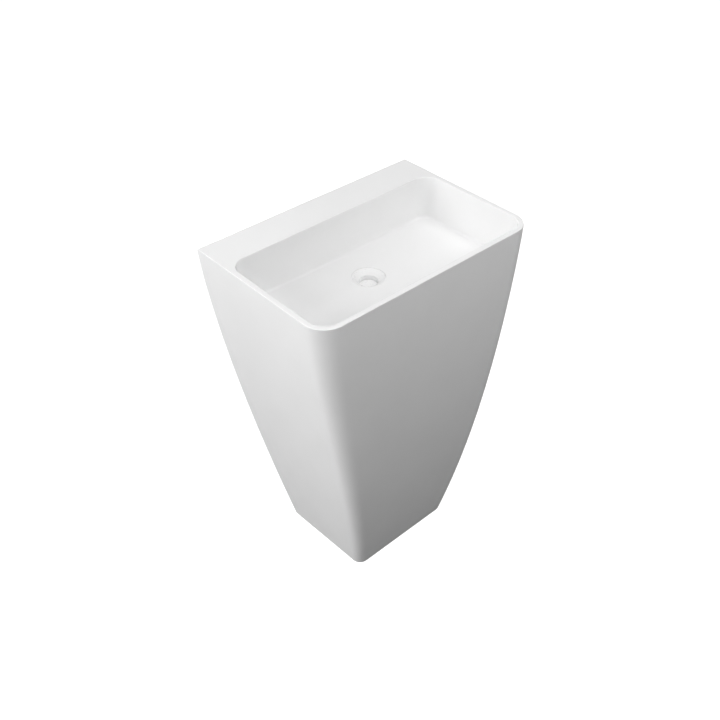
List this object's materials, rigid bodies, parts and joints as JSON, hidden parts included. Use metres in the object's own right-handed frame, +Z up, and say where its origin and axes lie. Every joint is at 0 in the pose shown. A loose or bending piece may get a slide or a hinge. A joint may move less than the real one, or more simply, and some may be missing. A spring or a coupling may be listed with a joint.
{
  "type": "pedestal sink",
  "caption": "Free-standing rectangular pedestal washbasin with rear deck, push-open waste, bottle trap and levelling feet.",
  "frame": {"origin": "centre of the plan outline, on the floor", "axes": "+Z up, +Y towards the wall behind, +X to the right of a person in front"},
  "size_m": [0.5998, 0.4, 0.85],
  "materials": {
    "casting": "matt white mineral casting, honed",
    "black_plastic": "matt black nylon",
    "board": "moisture-proof birch plywood",
    "zinc_steel": "zinc-plated steel",
    "white_waste": "brass with satin white lacquer",
    "seal_rubber": "black EPDM rubber",
    "white_plastic": "white polypropylene",
    "brass": "plain turned brass",
    "spring_steel": "bright stainless steel"
  },
  "bodies": {
    "sink": {"basin": "casting", "pedestal_shell": "casting", "bearer_front": "casting", "bearer_left": "casting", "bearer_right": "casting", "wall_hole_bushes": "black_plastic", "base_board": "board", "foot_inserts": "zinc_steel", "foot_jam_nuts": "zinc_steel", "floor_bracket_left": "zinc_steel", "floor_bracket_right": "zinc_steel", "bracket_screws": "zinc_steel", "waste_body": "white_waste", "flange_seal": "seal_rubber", "waste_gasket": "seal_rubber", "waste_washer": "white_plastic", "waste_backnut": "brass", "click_cartridge": "brass", "plug_spring": "spring_steel", "tail_nut": "white_plastic", "tail_washer": "seal_rubber", "inlet_tube": "white_plastic", "trap_head": "white_plastic", "inlet_nut": "white_plastic", "inlet_washer": "seal_rubber", "outlet_nut": "white_plastic", "outlet_washer": "seal_rubber", "outlet_pipe": "white_plastic"},
    "plug": {"plug_cap": "white_waste", "plug_stem": "spring_steel", "plug_seal": "seal_rubber"},
    "cup_seal_ring": {"cup_seal": "seal_rubber"},
    "cup": {"trap_cup": "white_plastic"},
    "rose": {"wall_rose": "white_plastic"},
    "pad_fl": {"foot_pad_fl": "black_plastic"},
    "screw_fl": {"foot_stud_fl": "zinc_steel"},
    "pad_fr": {"foot_pad_fr": "black_plastic"},
    "screw_fr": {"foot_stud_fr": "zinc_steel"},
    "pad_rl": {"foot_pad_rl": "black_plastic"},
    "screw_rl": {"foot_stud_rl": "zinc_steel"},
    "pad_rr": {"foot_pad_rr": "black_plastic"},
    "screw_rr": {"foot_stud_rr": "zinc_steel"}
  },
  "joints": [
    {"name": "plug_lift", "type": "slide", "parent": "sink", "child": "plug", "axis": [0, 0, 1], "range_m": [0, 0.009], "deforming": ["plug_spring"]},
    {"name": "cup_drop", "type": "slide", "parent": "sink", "child": "cup_seal_ring", "axis": [0, 0, -1], "range_m": [0, 0.012]},
    {"name": "cup_turn", "type": "hinge", "parent": "cup_seal_ring", "child": "cup", "pos_m": [0, 0, 0.5], "axis": [0, 0, -1], "range_deg": [0, 1440]},
    {"name": "rose_slide", "type": "slide", "parent": "sink", "child": "rose", "axis": [0, -1, 0], "range_m": [0, 0.08]},
    {"name": "foot_drop_fl", "type": "slide", "parent": "sink", "child": "pad_fl", "axis": [0, 0, -1], "range_m": [0, 0.01125]},
    {"name": "foot_turn_fl", "type": "hinge", "parent": "pad_fl", "child": "screw_fl", "pos_m": [-0.098, -0.085, 0.02], "axis": [0, 0, -1], "range_deg": [0, 3240]},
    {"name": "foot_drop_fr", "type": "slide", "parent": "sink", "child": "pad_fr", "axis": [0, 0, -1], "range_m": [0, 0.01125]},
    {"name": "foot_turn_fr", "type": "hinge", "parent": "pad_fr", "child": "screw_fr", "pos_m": [0.098, -0.085, 0.02], "axis": [0, 0, -1], "range_deg": [0, 3240]},
    {"name": "foot_drop_rl", "type": "slide", "parent": "sink", "child": "pad_rl", "axis": [0, 0, -1], "range_m": [0, 0.01125]},
    {"name": "foot_turn_rl", "type": "hinge", "parent": "pad_rl", "child": "screw_rl", "pos_m": [-0.098, 0.056, 0.02], "axis": [0, 0, -1], "range_deg": [0, 3240]},
    {"name": "foot_drop_rr", "type": "slide", "parent": "sink", "child": "pad_rr", "axis": [0, 0, -1], "range_m": [0, 0.01125]},
    {"name": "foot_turn_rr", "type": "hinge", "parent": "pad_rr", "child": "screw_rr", "pos_m": [0.098, 0.056, 0.02], "axis": [0, 0, -1], "range_deg": [0, 3240]}
  ],
  "couplings": [
    {"joint": "cup_turn", "follows": "cup_drop", "rad_per_m": 2094.4},
    {"joint": "foot_turn_fl", "follows": "foot_drop_fl", "rad_per_m": 5026.5},
    {"joint": "foot_turn_fr", "follows": "foot_drop_fr", "rad_per_m": 5026.5},
    {"joint": "foot_turn_rl", "follows": "foot_drop_rl", "rad_per_m": 5026.5},
    {"joint": "foot_turn_rr", "follows": "foot_drop_rr", "rad_per_m": 5026.5}
  ]
}
